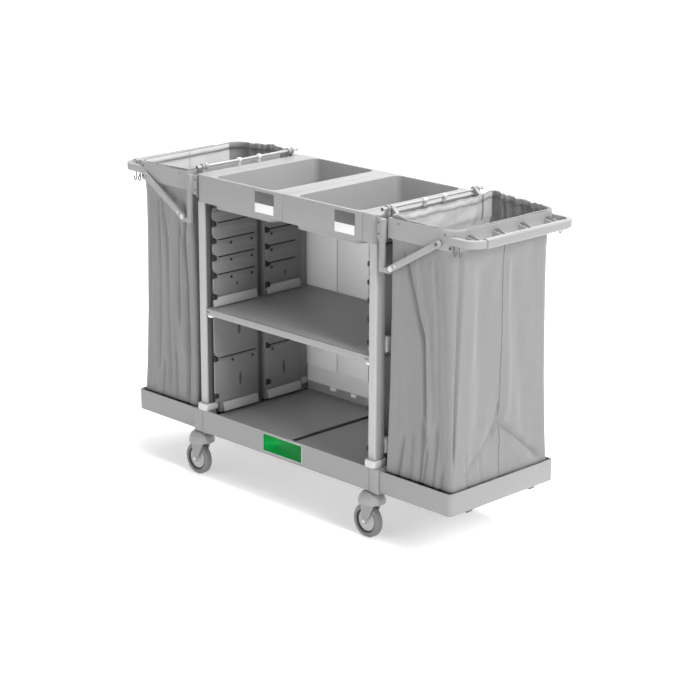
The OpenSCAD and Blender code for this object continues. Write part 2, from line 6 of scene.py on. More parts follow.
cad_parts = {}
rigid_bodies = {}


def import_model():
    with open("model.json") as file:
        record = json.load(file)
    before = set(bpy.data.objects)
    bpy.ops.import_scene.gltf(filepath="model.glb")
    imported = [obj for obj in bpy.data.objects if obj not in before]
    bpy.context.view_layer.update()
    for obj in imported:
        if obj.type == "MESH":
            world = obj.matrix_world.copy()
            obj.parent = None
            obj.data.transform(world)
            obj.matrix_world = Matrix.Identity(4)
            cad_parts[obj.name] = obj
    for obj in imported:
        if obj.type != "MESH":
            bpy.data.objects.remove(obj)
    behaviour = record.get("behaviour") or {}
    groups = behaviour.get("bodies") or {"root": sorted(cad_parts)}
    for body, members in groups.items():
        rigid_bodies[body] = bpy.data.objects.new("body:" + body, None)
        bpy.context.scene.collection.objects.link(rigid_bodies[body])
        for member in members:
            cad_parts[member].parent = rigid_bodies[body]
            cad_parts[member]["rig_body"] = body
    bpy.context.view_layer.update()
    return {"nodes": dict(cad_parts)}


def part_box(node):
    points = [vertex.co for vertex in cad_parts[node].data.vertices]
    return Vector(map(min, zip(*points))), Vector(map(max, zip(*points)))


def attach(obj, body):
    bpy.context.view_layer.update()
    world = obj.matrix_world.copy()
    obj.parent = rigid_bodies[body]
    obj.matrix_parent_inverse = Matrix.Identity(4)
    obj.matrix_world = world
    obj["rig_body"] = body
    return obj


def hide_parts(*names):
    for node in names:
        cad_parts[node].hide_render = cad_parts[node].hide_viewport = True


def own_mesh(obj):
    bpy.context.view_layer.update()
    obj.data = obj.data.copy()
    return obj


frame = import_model()

# ---------- Studio ----------
# A pale floor with a pale wall far off, one broad soft light overhead, a key from the
# right end and a weak fill in front. The camera stands high at the right end.


def new_object(name, data):
    """A new object that shows a mesh or a curve, or that is a light or a camera."""
    made = bpy.data.objects.new(name, data)
    bpy.context.scene.collection.objects.link(made)
    return made


view_heading = math.radians(45.375)
view_pitch = math.radians(16.67)
view_roll = math.radians(0.209)
camera_data = bpy.data.cameras.new("camera")
camera_data.lens = 108.17
camera_data.sensor_width = 36
camera_data.clip_end = 60
camera = new_object("camera", camera_data)
camera.matrix_world = (Matrix.Translation((5.3957, -5.2537, 2.809))
                       @ Matrix.Rotation(view_heading, 4, "Z")
                       @ Matrix.Rotation(math.pi / 2 - view_pitch, 4, "X")
                       @ Matrix.Rotation(view_roll, 4, "Z"))
bpy.context.scene.camera = camera


def add_node(tree, kind, settings=None, values=None):
    """A new node with its settings and unlinked input values."""
    made = tree.nodes.new(kind)
    for key, value in (settings or {}).items():
        setattr(made, key, value)
    for key, value in (values or {}).items():
        made.inputs[key].default_value = value
    return made


def link_up(tree, links):
    """Joins outputs to inputs, each as (node, output, node, input)."""
    for giver, output, taker, entry in links:
        tree.links.new(giver.outputs[output], taker.inputs[entry])


def studio_material(name, paleness, roughness, glow):
    """A plain pale surface that glows a little, and its shader."""
    material = bpy.data.materials.new(name)
    material.use_nodes = True
    shader = material.node_tree.nodes["Principled BSDF"]
    shader.inputs["Base Color"].default_value = (paleness, paleness, paleness, 1)
    shader.inputs["Roughness"].default_value = roughness
    shader.inputs["Emission Color"].default_value = (1, 1, 1, 1)
    shader.inputs["Emission Strength"].default_value = glow
    return material, shader


bpy.ops.object.select_all(action="DESELECT")
bpy.ops.mesh.primitive_plane_add(size=50, location=(0, 0, 0))
floor = bpy.context.object
floor.name = "studio_floor"
floor_material, floor_shader = studio_material("studio_floor", 0.93, 0.9, 0)
# The floor glows, faintly near the cart and more further out: painted light that lightens the shadows under
# the cart.
floor_nodes = floor_material.node_tree
floor_place = add_node(floor_nodes, "ShaderNodeTexCoord")
floor_far = add_node(floor_nodes, "ShaderNodeVectorMath", {"operation": "LENGTH"})
floor_glow = add_node(floor_nodes, "ShaderNodeMapRange",
                      values={"From Min": 1.0, "From Max": 4.5, "To Min": 0.30, "To Max": 0.66})
link_up(floor_nodes, [(floor_place, "Object", floor_far, 0), (floor_far, "Value", floor_glow, "Value"),
                      (floor_glow, "Result", floor_shader, "Emission Strength")])
floor.data.materials.append(floor_material)

wall_height = 12
bpy.ops.object.select_all(action="DESELECT")
bpy.ops.mesh.primitive_cylinder_add(vertices=128, radius=24, depth=wall_height,
                                    end_fill_type="NOTHING", location=(0, 0, wall_height / 2))
bpy.ops.object.transform_apply()
backdrop = bpy.context.object
backdrop.name = "studio_backdrop"
backdrop.data.materials.append(studio_material("studio_backdrop", 0.9, 0.5, 0.52)[0])

world = bpy.data.worlds.new("studio")
world.use_nodes = True
sky = world.node_tree.nodes["Background"]
sky.inputs["Color"].default_value = (1, 1, 1, 1)
sky.inputs["Strength"].default_value = 0.36
bpy.context.scene.world = world
bpy.context.scene.view_settings.view_transform = "Standard"


def soft_light(name, place, size, power):
    """One square softbox that looks at the middle of the cart."""
    data = bpy.data.lights.new(name, "AREA")
    data.size = size
    data.energy = power
    light = new_object(name, data)
    light.location = place
    aim = Vector((0, 0, 0.6)) - Vector(place)
    light.rotation_euler = aim.to_track_quat("-Z", "Y").to_euler()


soft_light("overhead", (0.4, 0.6, 4.6), 2.6, 370)
soft_light("key", (5.2, -0.9, 3.4), 1.8, 190)
soft_light("fill", (0.6, -5.5, 1.3), 3.0, 20)

# ---------- Base platform ----------
# The middle moulding and the two end trays: grey polypropylene shells with raised rims
# and a fine spark-eroded grain. The platform's floor under the mats is painted near black:
# painted shade for the dark gaps round the mats.


def new_group(name, inputs, outputs):
    """An empty shader group with float inputs and the named outputs."""
    group = bpy.data.node_groups.new(name, "ShaderNodeTree")
    for label, kind, value in inputs:
        socket = group.interface.new_socket(label, in_out="INPUT", socket_type=kind)
        if value is not None:
            socket.default_value = value
    for label, kind in outputs:
        group.interface.new_socket(label, in_out="OUTPUT", socket_type=kind)
    entry = group.nodes.new("NodeGroupInput")
    leave = group.nodes.new("NodeGroupOutput")
    return group, entry, leave


grain_group, grain_in, grain_out = new_group(
    "moulded grain",
    [("Scale", "NodeSocketFloat", 900.0)],
    [("Height", "NodeSocketFloat"), ("Tone", "NodeSocketFloat")])
grain_place = add_node(grain_group, "ShaderNodeTexCoord")
grain_fine = add_node(grain_group, "ShaderNodeTexNoise", values={"Detail": 3.0, "Roughness": 0.6})
grain_broad = add_node(grain_group, "ShaderNodeTexNoise", values={"Scale": 4.0, "Detail": 4.0})
link_up(grain_group, [(grain_place, "Object", grain_fine, "Vector"),
                      (grain_place, "Object", grain_broad, "Vector"),
                      (grain_in, "Scale", grain_fine, "Scale"), (grain_fine, "Fac", grain_out, "Height"),
                      (grain_broad, "Fac", grain_out, "Tone")])

wear_group, wear_in, wear_out = new_group(
    "edge wear",
    [("Radius", "NodeSocketFloat", 0.003)],
    [("Mask", "NodeSocketFloat")])
wear_round = add_node(wear_group, "ShaderNodeBevel", {"samples": 4})
wear_true = add_node(wear_group, "ShaderNodeNewGeometry")
wear_turn = add_node(wear_group, "ShaderNodeVectorMath", {"operation": "DOT_PRODUCT"})
wear_ramp = add_node(wear_group, "ShaderNodeMapRange",
                     values={"From Min": 0.99, "From Max": 0.8, "To Min": 0.0, "To Max": 1.0})
wear_place = add_node(wear_group, "ShaderNodeTexCoord")
wear_noise = add_node(wear_group, "ShaderNodeTexNoise", values={"Scale": 60.0, "Detail": 5.0})
wear_mix = add_node(wear_group, "ShaderNodeMath", {"operation": "MULTIPLY"})
link_up(wear_group, [(wear_in, "Radius", wear_round, "Radius"), (wear_round, "Normal", wear_turn, 0),
                     (wear_true, "Normal", wear_turn, 1), (wear_turn, "Value", wear_ramp, "Value"),
                     (wear_place, "Object", wear_noise, "Vector"), (wear_ramp, "Result", wear_mix, 0),
                     (wear_noise, "Fac", wear_mix, 1), (wear_mix, "Value", wear_out, "Mask")])


def shade(colour, factor):
    """A colour, or a grey given as one number, made lighter or darker, with its alpha."""
    parts = colour if isinstance(colour, tuple) else (colour,) * 3
    return (*[min(1.0, part * factor) for part in parts], 1)


def moulded_plastic(name, colour, roughness=0.48, grain=900.0, depth=0.00006, wear=1.12, spread=0.06):
    """Moulded plastic or paint: fine grain, faint mottling, and slightly rubbed edges."""
    material = bpy.data.materials.new(name)
    material.use_nodes = True
    tree = material.node_tree
    shader = tree.nodes["Principled BSDF"]
    grained = add_node(tree, "ShaderNodeGroup", {"node_tree": grain_group}, {"Scale": grain})
    worn = add_node(tree, "ShaderNodeGroup", {"node_tree": wear_group})
    mottled = add_node(tree, "ShaderNodeMix", {"data_type": "RGBA"})
    mottled.inputs["A"].default_value = shade(colour, 1 - spread)
    mottled.inputs["B"].default_value = shade(colour, 1 + spread)
    rubbed = add_node(tree, "ShaderNodeMix", {"data_type": "RGBA"})
    rubbed.inputs["B"].default_value = shade(colour, wear)
    gloss = add_node(tree, "ShaderNodeMapRange",
                     values={"To Min": roughness - 0.06, "To Max": roughness + 0.06})
    bump = add_node(tree, "ShaderNodeBump", values={"Strength": 0.6, "Distance": depth})
    link_up(tree, [(grained, "Tone", mottled, "Factor"), (mottled, "Result", rubbed, "A"),
                   (worn, "Mask", rubbed, "Factor"), (rubbed, "Result", shader, "Base Color"),
                   (grained, "Tone", gloss, "Value"), (gloss, "Result", shader, "Roughness"),
                   (grained, "Height", bump, "Height"), (bump, "Normal", shader, "Normal")])
    return material


def pick(piece):
    """Makes the piece the only selected one."""
    bpy.ops.object.select_all(action="DESELECT")
    piece.select_set(True)
    bpy.context.view_layer.objects.active = piece


def round_edges(piece, width, segments=2, angle=35):
    """Bevels the sharp edges and smooths what is left round."""
    pick(piece)
    bevel = piece.modifiers.new("round", "BEVEL")
    bevel.width = width
    bevel.segments = segments
    bevel.limit_method = "ANGLE"
    bevel.angle_limit = math.radians(angle)
    bevel.use_clamp_overlap = True
    bpy.ops.object.modifier_apply(modifier="round")
    bpy.ops.object.shade_smooth_by_angle(angle=math.radians(40))


def edit_all(piece, *steps):
    """Runs mesh operators on the whole of a piece, each as (operator, its settings)."""
    pick(piece)
    bpy.ops.object.mode_set(mode="EDIT")
    for operator, settings in steps:
        bpy.ops.mesh.select_all(action="SELECT")
        operator(**settings)
    bpy.ops.object.mode_set(mode="OBJECT")


def finish_piece(piece, material, body):
    """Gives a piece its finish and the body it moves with."""
    piece.data.materials.clear()
    piece.data.materials.append(material)
    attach(piece, body)


def from_node(node, name, material, width=0.0015, segments=2):
    """A piece with a CAD node's true shape, its flat faces merged and its edges rounded."""
    source = frame["nodes"][node]
    piece = new_object(name, source.data.copy())
    edit_all(piece, (bpy.ops.mesh.remove_doubles, {"threshold": 0.00002}),
             (bpy.ops.mesh.dissolve_limited, {"angle_limit": math.radians(0.6)}))
    if width:
        round_edges(piece, width, segments)
    finish_piece(piece, material, source["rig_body"])
    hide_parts(node)
    return piece


shell_plastic = moulded_plastic("shell plastic", 0.207)
platform = from_node("base_platform", "platform", shell_plastic, 0.0025, 3)
gap_shade_black = moulded_plastic("floor black", 0.02, 0.7)
platform.data.materials.append(gap_shade_black)
mat_low, mat_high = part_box("base_mats")
# Faces at the mats' level take the near black: painted shade in the gaps round the mats.
for part_face in platform.data.polygons:
    if part_face.normal.z > 0.9 and abs(part_face.center.z - mat_low[2]) < 0.002:
        part_face.material_index = 1
for side in ("left", "right"):
    from_node("base_tray_" + side, "end_tray_" + side, shell_plastic, 0.003, 3)

# ---------- Floor mats and tray runners ----------
# Two grey mats lie on the platform's floor a little short of its walls, and black painted
# steel runners carry each end tray.
mat_rubber = moulded_plastic("mat rubber", (0.335, 0.335, 0.338), 0.5, 500.0, 0.0001, 1.3)
mats = from_node("base_mats", "floor_mats", mat_rubber, 0.0012)
mat_inset = 0.005
for point in mats.data.vertices:
    side = math.copysign(1, point.co.x)
    share = abs(point.co.x) / mat_high[0]
    point.co.x -= side * mat_inset * (2 * share - 1)
runner_paint = moulded_plastic("runner paint", (0.012, 0.012, 0.013), 0.4, 1500.0, 0.00003, 2.0)
from_node("tray_runners", "runners", runner_paint, 0.001)

# ---------- Posts ----------
# Four aluminium extrusions with a pale face strip, grey flanks and, in front, a dark inner
# channel: painted shade for the gap beside the side panels. Each stands in a white
# moulded shoe on the platform's corner block.
post_strip = moulded_plastic("post strip", 0.315, 0.34, 2200.0, 0.00002, 1.05, 0.02)
post_gap_shade = moulded_plastic("post channel", 0.09, 0.6)
post_flank = moulded_plastic("post flank", 0.27, 0.38, 2200.0, 0.00002, 1.1, 0.03)
strip_depth = 0.008
for side in ("front_left", "front_right", "rear_left", "rear_right"):
    post = from_node("post_" + side, "upright_" + side, post_strip, 0.0012, 2)
    post.data.materials.append(post_flank)
    post.data.materials.append(post_gap_shade)
    low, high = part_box("post_" + side)
    outer = -1 if "front" in side else 1
    face = low[1] if "front" in side else high[1]
    edit_all(post, (bpy.ops.mesh.bisect, {"plane_co": (0, face - outer * strip_depth, 0),
                                          "plane_no": (0, 1, 0)}))
    for side_face in post.data.polygons:
        if outer * (side_face.center.y - face) < -strip_depth + 0.0005:
            # Inward faces of the front posts take the painted shade of the gap beside the side panels.
            inward = side_face.normal.x * side_face.center.x < -0.3 * abs(side_face.center.x)
            side_face.material_index = 2 if inward and outer < 0 else 1
shoe_plastic = moulded_plastic("shoe plastic", 0.44, 0.42, 1200.0, 0.00004, 1.06, 0.03)
from_node("post_shoes", "shoes", shoe_plastic, 0.0012)

# ---------- Top trays ----------
# Two deep trays in one line with a corner cap at the right end, all moulded in the
# shell's grey. Their rims are rounded over so that linen doesn't catch.
for node in ("top_tray_left", "top_tray_right", "top_corner_cap"):
    from_node(node, node.replace("top_", "deck_"), shell_plastic, 0.0042, 3)

# ---------- Labels and name plate ----------
# Blank film labels: a black plate above a white card on each fascia, and a green
# plate with a pale border on the platform's front.
black_film = moulded_plastic("black film", (0.055, 0.056, 0.057), 0.45, 3000.0, 0.00001, 1.2)
from_node("label_plates", "blank_plates", black_film, 0.0003)
card_film = moulded_plastic("card film", 0.58, 0.4, 3000.0, 0.00001, 1.0, 0.01)
from_node("label_cards", "blank_cards", card_film, 0.0003)
green_film = moulded_plastic("green film", (0.0, 0.23, 0.035), 0.55, 3000.0, 0.00001, 1.1, 0.03)
green_film.node_tree.nodes["Principled BSDF"].inputs["Specular IOR Level"].default_value = 0.08
name_plate = from_node("name_plate", "green_plate", green_film, 0.0004)
name_plate.data.materials.append(card_film)
for plate_face in name_plate.data.polygons:
    plate_face.select = plate_face.normal.y < -0.9
bpy.ops.object.mode_set(mode="EDIT")
bpy.ops.mesh.inset(thickness=0.0026)
bpy.ops.object.mode_set(mode="OBJECT")
for plate_face in name_plate.data.polygons:
    plate_face.material_index = 0 if plate_face.select else 1

# ---------- Cabinet ----------
# Moulded side panels with runners, slots, holes and scoops stand between the posts and a
# dark upright. The slots, holes, notches and scoops are black and dark grey marks: painted
# shade. The outer faces and the sloped ledges of the feet are painted lighter: painted light.
# The shelf has a metal lip, and pale laminate slats close the back, grey on their rear
# faces as painted shade.
panel_plastic = moulded_plastic("panel plastic", (0.185, 0.185, 0.187))
# Lighter grey for the sloped faces of the panels' feet: a painted highlight where light falls on the slope.
panel_ledge_lit = moulded_plastic("panel ledge", (0.40, 0.40, 0.403))
# Lighter grey for the panels' outer faces: painted light on faces that lie in shade beside the posts.
panel_outer_lit = moulded_plastic("panel outer face", 0.36, 0.6)
# Black plugs and dark grey insets put where the slots, holes, notches and scoops lie: painted shade.
hole_shade_black = moulded_plastic("hole black", 0.012, 0.8)
scoop_shade_grey = moulded_plastic("scoop grey", 0.07, 0.8)
outwards = (bpy.ops.mesh.normals_make_consistent, {"inside": False})


def drawn_out(name, outline, start, end):
    """A prism: an outline of (x, z) points drawn out along Y from start to end."""
    mesh = bpy.data.meshes.new(name)
    mesh.from_pydata([(x, start, z) for x, z in outline], [], [tuple(range(len(outline)))])
    piece = new_object(name, mesh)
    stretch = {"TRANSFORM_OT_translate": {"value": (0, end - start, 0)}}
    edit_all(piece, (bpy.ops.mesh.extrude_region_move, stretch), outwards)
    return piece


def oblong(x0, x1, z0, z1):
    """The outline of an upright rectangle."""
    return [(x0, z0), (x1, z0), (x1, z1), (x0, z1)]


def cylinder(place, radius, depth, turn, sides=24):
    """A plain cylinder with its axis turned from upright."""
    bpy.ops.object.select_all(action="DESELECT")
    bpy.ops.mesh.primitive_cylinder_add(vertices=sides, radius=radius, depth=depth,
                                        location=place, rotation=turn)
    bpy.ops.object.transform_apply()
    return bpy.context.object


def joined(parts, name):
    """Several pieces made one object."""
    bpy.ops.object.select_all(action="DESELECT")
    for part in parts:
        part.select_set(True)
    bpy.context.view_layer.objects.active = parts[0]
    bpy.ops.object.join()
    parts[0].name = name
    return parts[0]


def turned_over(piece, axis):
    """Mirrors a mesh in the middle plane of the cart and turns its faces outwards again."""
    scale = [-1 if place == axis else 1 for place in range(3)]
    for point in piece.data.vertices:
        point.co = [part * way for part, way in zip(point.co, scale)]
    edit_all(piece, outwards)


def panel_parts(low, high, slots, holes, scoops, leaves, reach):
    """Plates with saw-toothed runners proud of them, and black and dark grey marks for the slots, round
    holes, notches and scoops: painted shade.
    """
    outer, plate, proud = high[0], high[0] - 0.020, low[0] + 0.0005
    root, crest = plate + 0.001, plate - 0.0035
    border, rear_border = 0.011, 0.008
    first_tooth, tall_tooth, divide = 0.045, 0.045, 0.4
    y0, y1 = low[1], high[1]
    front, rear = y0 + border - reach, y1 - rear_border
    parts, plugs, dips = [], [], []
    for bottom, top in leaves:
        parts.append(drawn_out("leaf", oblong(plate, outer, bottom, top), y0, y1))
        foot = [(root, bottom + 0.001), (proud + 0.002, bottom + 0.001), (proud, bottom + 0.005),
                (crest, bottom + 0.038), (root, bottom + 0.040)]
        parts.append(drawn_out("foot", foot, front if bottom > divide else y0 + border, rear))
        within = [place for place in slots if bottom + 0.05 < place < top - 0.01]
        starts = [bottom + 0.044] + [place + 0.004 for place in within]
        ends = [place - 0.0005 for place in within] + [top - 0.004]
        for start, end in zip(starts, ends):
            over_slot = start > bottom + first_tooth
            lip = proud + 0.002 if over_slot else plate - 0.004
            tooth = [(root, start), (lip, start + 0.001), (lip, start + 0.006),
                     (crest, start + 0.024), (plate - 0.002, end), (root, end)]
            parts.append(drawn_out("tooth", tooth, front + 0.010, rear - 0.006))
            if over_slot:
                slot_line = oblong(plate, lip + 0.0005, start - 0.0045, start + 0.0005)
                plugs.append(drawn_out("slot", slot_line, front + 0.030, rear - 0.014))
            if end - start > tall_tooth:
                back = oblong(root, plate - 0.002, start, end)
                parts.append(drawn_out("edge_back", back, front + 0.004, rear))
                side_run = [(root, start + 0.018), (plate - 0.005, start + 0.020),
                            (plate - 0.004, end - 0.014), (root, end - 0.012)]
                parts.append(drawn_out("edge_run", side_run, front, rear))
    for share, z in holes:
        y = y0 + border + share * (rear - y0 - border)
        plugs.append(cylinder((plate - 0.0040, y, z), 0.0055, 0.004, (0, math.pi / 2, 0), 20))
        round_edges(plugs[-1], 0.0006, 2)
    edge = front if reach else rear - 0.0122
    for z in [place for place in slots if place < high[2]] + clip_notches:
        notch = [(plate, z - 0.014), (proud + 0.0005, z - 0.008),
                 (proud + 0.0005, z + 0.006), (plate, z + 0.012)]
        plugs.append(drawn_out("notch", notch, edge - 0.0008, edge + 0.013))
    # The scoops are dark grey ellipsoids on the plate: painted shade for the hollows.
    for share, z, half in scoops:
        y = y0 + border + share * (rear - y0 - border)
        bpy.ops.object.select_all(action="DESELECT")
        bpy.ops.mesh.primitive_uv_sphere_add(segments=24, ring_count=14, radius=1,
                                             location=(plate - 0.0026, y, z), scale=(0.0026, 0.0110, half))
        bpy.ops.object.transform_apply()
        bpy.ops.object.shade_smooth()
        dips.append(bpy.context.object)
    return parts, plugs, dips


upper_slots = [0.806, 0.874, 0.940, 1.006]
lower_slots = [0.478]
clip_notches = [0.722, 0.330]
leaf_gap = (0.660, 0.6815)
front_reach = 0.041
panel_scoops = [(0.44, 0.756, 0.014), (0.48, 0.575, 0.034), (0.50, 0.370, 0.046)]
for face, holes in (("front", [(0.28, z - 0.019) for z in upper_slots[:3] + lower_slots]
                     + [(0.86, z - 0.021) for z in upper_slots[:3] + lower_slots]),
                    ("rear", [(0.84, z - 0.019) for z in upper_slots + lower_slots])):
    for side in ("left", "right"):
        low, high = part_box("side_panel_right_" + face)
        if face == "rear":
            low, high = (low[0], -high[1], low[2]), (high[0], -low[1], high[2])
        parts, plugs, dips = panel_parts(low, high, upper_slots + lower_slots, holes, panel_scoops,
                                         [(low[2], leaf_gap[0]), (leaf_gap[1], high[2])],
                                         front_reach if face == "front" else 0.0)
        panel = joined(parts, "panel_%s_%s" % (side, face))
        dots = joined(plugs, "panel_holes_%s_%s" % (side, face))
        scoop_shades = joined(dips, "panel_scoops_%s_%s" % (side, face))
        round_edges(panel, 0.0012, 2, 50)
        for piece, finish in ((panel, panel_plastic), (dots, hole_shade_black), (scoop_shades, scoop_shade_grey)):
            if face == "rear":
                turned_over(piece, 1)
            if side == "left":
                turned_over(piece, 0)
            finish_piece(piece, finish, "chassis")
            piece.data.materials.append(panel_outer_lit)
            piece.data.materials.append(panel_ledge_lit)
            for side_face in piece.data.polygons:
                # Outer faces take the painted light.
                if abs(side_face.center.x) > high[0] - 0.0015:
                    side_face.material_index = 1
                # Sloped ledge faces take the painted highlight.
                elif 0.2 < side_face.normal.z < 0.31:
                    side_face.material_index = 2
        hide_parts("side_panel_%s_%s" % (side, face))
upright_finish = moulded_plastic("upright finish", (0.10, 0.10, 0.102), 0.4)
from_node("centre_uprights", "uprights", upright_finish, 0.001)
laminate = moulded_plastic("pale laminate", (0.93, 0.93, 0.94), 0.35, 1800.0, 0.00002, 1.05, 0.02)
laminate_grey = moulded_plastic("grey laminate", (0.36, 0.36, 0.363), 0.45, 1500.0, 0.00002, 1.1, 0.03)
kick_laminate = moulded_plastic("kick laminate", (0.8, 0.8, 0.805), 0.4, 1800.0, 0.00002, 1.05, 0.02)
edge_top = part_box("back_clips")[1][2] - 0.003
for node, name, finish in (("back_slats", "slats", laminate),
                           ("back_kick_panel", "kick_panel", kick_laminate)):
    board = from_node(node, name, finish, 0.0008)
    board.data.materials.append(laminate_grey)
    edit_all(board, (bpy.ops.mesh.bisect, {"plane_co": (0, 0, edge_top), "plane_no": (0, 0, 1)}))
    for side_face in board.data.polygons:
        # Faces that look to the back take the grey laminate, painted shade that keeps them from burning out
        # white under the lights; faces below the clips' top take it too.
        grey = side_face.normal.y > 0.5 or side_face.center.z < edge_top
        side_face.material_index = 1 if grey else 0
clip_plastic = moulded_plastic("clip plastic", 0.97, 0.3)
from_node("back_clips", "kick_clips", clip_plastic, 0.0012)
from_node("shelf_clips", "board_clips", clip_plastic, 0.0008)
shelf_laminate = moulded_plastic("shelf laminate", (0.35, 0.35, 0.353), 0.5, 700.0, 0.00008, 1.2)
from_node("shelf_board", "shelf", shelf_laminate, 0.0008)
lip_finish = moulded_plastic("lip finish", 0.225, 0.36, 2200.0, 0.00002, 1.06, 0.02)
from_node("shelf_lip", "shelf_edge", lip_finish, 0.0015, 3)

# ---------- Bag frames ----------
# Each frame is one moulding: a ring for the bag with two hinge arms, and a band with a
# grip sleeve round the outside. It folds up on a steel rod in the top's brackets.
bracket_paint = moulded_plastic("bracket paint", 0.21, 0.45)
rod_steel = moulded_plastic("rod steel", 0.3, 0.35, 2500.0, 0.00002, 1.05, 0.02)
frame_plastic = moulded_plastic("frame plastic", 0.225)
grip_plastic = moulded_plastic("grip plastic", 0.215, 0.42)
stay_plastic = moulded_plastic("stay plastic", 0.24, 0.45)
for side in ("left", "right"):
    from_node("hinge_brackets_" + side, "brackets_" + side, bracket_paint, 0.0015)
    from_node("hinge_rod_" + side, "rod_" + side, rod_steel, 0.0006)
    from_node("bag_frame_" + side, "ring_" + side, frame_plastic, 0.0018, 3)
    from_node("grip_" + side, "handle_" + side, grip_plastic, 0.0015, 3)
    for face in ("front", "rear"):
        from_node("stay_%s_%s" % (side, face), "strut_%s_%s" % (side, face),
                  stay_plastic, 0.0018, 3)

# ---------- Frame fittings ----------
# Black screws and plastic blanking caps on the brackets, rings and stays, pale moulded
# caps and latches at the stays' feet, and pale clips that hold the hinge rods down.


def button(place, radius, height):
    """A round head on a face that looks along Y, its rim rounded and its middle sunk."""
    made = cylinder(place, radius, height, (math.pi / 2, 0, 0))
    bpy.ops.object.mode_set(mode="EDIT")
    bpy.ops.mesh.select_all(action="DESELECT")
    bpy.ops.object.mode_set(mode="OBJECT")
    for face in made.data.polygons:
        face.select = len(face.vertices) > 4
    bpy.ops.object.mode_set(mode="EDIT")
    bpy.ops.mesh.inset(thickness=0.45 * radius, depth=-0.25 * height)
    bpy.ops.object.mode_set(mode="OBJECT")
    round_edges(made, 0.12 * radius, 2, 50)
    return made


dark_fittings_and_shade = moulded_plastic("fitting dark", 0.03, 0.45)
fitting_pale = moulded_plastic("fitting pale", 0.45, 0.4)
rod_low, rod_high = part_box("hinge_rod_right")
stay_low, stay_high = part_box("stay_right_front")
stay_half = 0.0115
stay_gap = 0.003
stay_face = -stay_low[1]
ring_face = -stay_high[1] - stay_gap
bracket_face = -stay_high[1]
ring_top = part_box("top_tray_right")[1][2]
rod_x, rod_z = (rod_low[0] + rod_high[0]) / 2, (rod_low[2] + rod_high[2]) / 2
foot_x, foot_z = stay_low[0] + stay_half, stay_low[2] + stay_half
pin_x, pin_z = stay_high[0] - stay_half, stay_high[2] - stay_half
rod_clip_places = (-0.045, 0.055)
bracket_screws = [(rod_x - 0.0035, rod_z - 0.083), (rod_x - 0.0035, rod_z - 0.043)]
ring_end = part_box("base_tray_right")[1][0] - 0.005
ring_screws = [(ring_end - 0.047, ring_top - 0.014), (ring_end - 0.262, ring_top - 0.014)]
for side, way in (("left", -1), ("right", 1)):
    on_chassis = [button((way * x, face * (bracket_face + 0.0005), z), 0.0042, 0.002)
                  for face in (-1, 1) for x, z in bracket_screws]
    on_frame = [button((way * x, face * (ring_face + 0.0004), z), 0.0036, 0.0018)
                for face in (-1, 1) for x, z in ring_screws]
    for face in (-1, 1):
        on_chassis.append(button((way * rod_x, face * (rod_high[1] + 0.001), rod_z), 0.0072, 0.003))
        on_frame.append(button((way * (pin_x + 0.046), face * ring_face, pin_z - 0.010), 0.006, 0.0016))
        on_frame.append(button((way * pin_x, face * (stay_face + 0.0058), pin_z), 0.0062, 0.002))
    for body, heads in (("chassis", on_chassis), ("frame_" + side, on_frame)):
        finish_piece(joined(heads, "fittings_%s_%s" % (side, body)), dark_fittings_and_shade, body)
    for face, label in ((-1, "front"), (1, "rear")):
        cap = button((way * foot_x, face * (stay_face + 0.0006), foot_z), 0.0108, 0.0024)
        latch = button((way * (foot_x + 0.024), face * (stay_face + 0.0004), foot_z + 0.0138), 0.0052, 0.0018)
        finish_piece(joined([cap, latch], "stay_cap_%s_%s" % (side, label)), fitting_pale,
                     "stay_%s_%s" % (side, label))
    clips = []
    for y in rod_clip_places:
        clip = cylinder((way * rod_x, y, rod_z), 0.0098, 0.016, (math.pi / 2, 0, 0))
        round_edges(clip, 0.0015, 2)
        tab = oblong(way * (rod_x - 0.004), way * (rod_x + 0.004), rod_z - 0.020, rod_z)
        clips += [clip, drawn_out("tab", tab, y - 0.006, y + 0.006)]
    finish_piece(joined(clips, "rod_clips_" + side), fitting_pale, "chassis")

# ---------- Ring lines ----------
# Dark lines on the frames: the groove along the ring's top, and dark prisms in the open
# pockets of the four gussets that carry the grip, painted shade for their insides.
groove_low, groove_high = ring_top - 0.001, ring_top + 0.0003
groove_half, groove_place = 0.0007, ring_face - 0.003
end_half, end_place = 0.0008, ring_end - 0.004
gusset_step, pocket_half = 0.132, 0.0095
pocket_line = [(0.0045, 0.0405), (0.055, 0.0405), (0.0545, 0.035), (0.0045, 0.0175)]
for side, way in (("left", -1), ("right", 1)):
    end_line = oblong(way * (end_place - end_half), way * (end_place + end_half), groove_low, groove_high)
    lines = [drawn_out("groove", end_line, 0.057 - ring_face, ring_face - 0.057)]
    for face in (-1, 1):
        bar = oblong(way * (ring_end - 0.289), way * (ring_end - 0.059), groove_low, groove_high)
        lines.append(drawn_out("groove", bar, face * (groove_place - groove_half),
                               face * (groove_place + groove_half)))
    # Dark prisms in the gusset pockets: painted shade.
    for step in (-1.5, -0.5, 0.5, 1.5):
        pocket = [(way * (ring_end + along), ring_top - down) for along, down in pocket_line]
        middle = step * gusset_step
        lines.append(drawn_out("pocket", pocket, middle - pocket_half, middle + pocket_half))
    finish_piece(joined(lines, "ring_lines_" + side), dark_fittings_and_shade, "frame_" + side)

